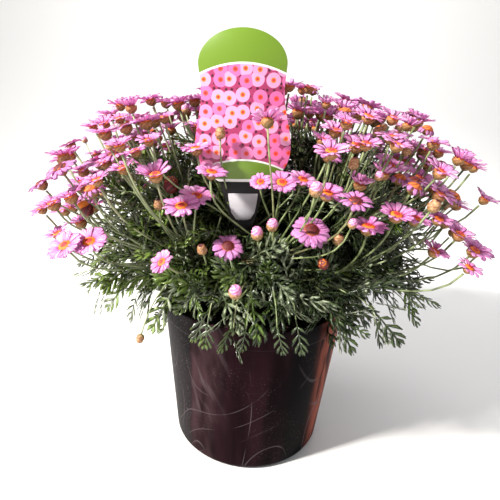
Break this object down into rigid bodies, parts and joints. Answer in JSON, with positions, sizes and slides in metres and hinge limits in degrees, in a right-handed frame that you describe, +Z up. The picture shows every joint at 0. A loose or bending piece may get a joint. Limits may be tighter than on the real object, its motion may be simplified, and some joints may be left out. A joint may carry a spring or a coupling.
{
  "type": "potted marguerite daisy",
  "caption": "Bushy daisy with pink blooms over feathery lobed leaves, in a tapered nursery pot with a plant label on a stake.",
  "frame": {"origin": "centre of the pot's flat base, on the surface that it stands on", "axes": "+Z up along the pot's axis; the label's face looks along -Y; +X to the viewer's right of the label"},
  "size_m": [0.4542, 0.3644, 0.4328],
  "materials": {
    "pot": "satin",
    "soil": "matte",
    "crown": "matte",
    "green": "satin",
    "petals": "matte",
    "label": "satin",
    "stake": "satin",
    "badge": "satin"
  },
  "bodies": {
    "root": {"pot": "pot", "potting_mix": "soil", "woody_crown": "crown", "label_card": "label", "label_stake": "stake", "label_badge": "badge", "blooms_left_pair": "petals", "blooms_left_middle": "petals", "blooms_centre_low": "petals", "blooms_right_low": "petals", "blooms_right_single": "petals", "blooms_left_low": "petals", "blooms_label_foot": "petals", "blooms_label_left_high": "petals", "blooms_label_left_low": "petals", "blooms_dome_01": "petals", "blooms_dome_02": "petals", "blooms_dome_03": "petals", "blooms_dome_04": "petals", "blooms_dome_05": "petals", "blooms_dome_06": "petals", "blooms_dome_07": "petals", "blooms_dome_08": "petals", "blooms_dome_09": "petals", "blooms_dome_10": "petals", "blooms_dome_11": "petals", "blooms_dome_12": "petals", "blooms_dome_13": "petals", "blooms_dome_14": "petals", "blooms_dome_15": "petals", "blooms_dome_16": "petals", "blooms_dome_17": "petals", "blooms_dome_18": "petals", "blooms_dome_19": "petals", "blooms_dome_20": "petals", "blooms_dome_21": "petals", "blooms_dome_22": "petals", "blooms_dome_23": "petals", "blooms_dome_24": "petals", "blooms_dome_25": "petals", "blooms_dome_26": "petals", "blooms_dome_27": "petals", "blooms_dome_28": "petals", "blooms_dome_29": "petals", "blooms_dome_30": "petals", "leafy_stem_01": "green", "leafy_stem_02": "green", "leafy_stem_03": "green", "leafy_stem_04": "green", "leafy_stem_05": "green", "leafy_stem_06": "green", "leafy_stem_07": "green", "leafy_stem_08": "green", "leafy_stem_09": "green", "leafy_stem_10": "green", "leafy_stem_11": "green", "leafy_stem_12": "green", "leafy_stem_13": "green", "leafy_stem_14": "green", "leafy_stem_15": "green"}
  },
  "joints": []
}
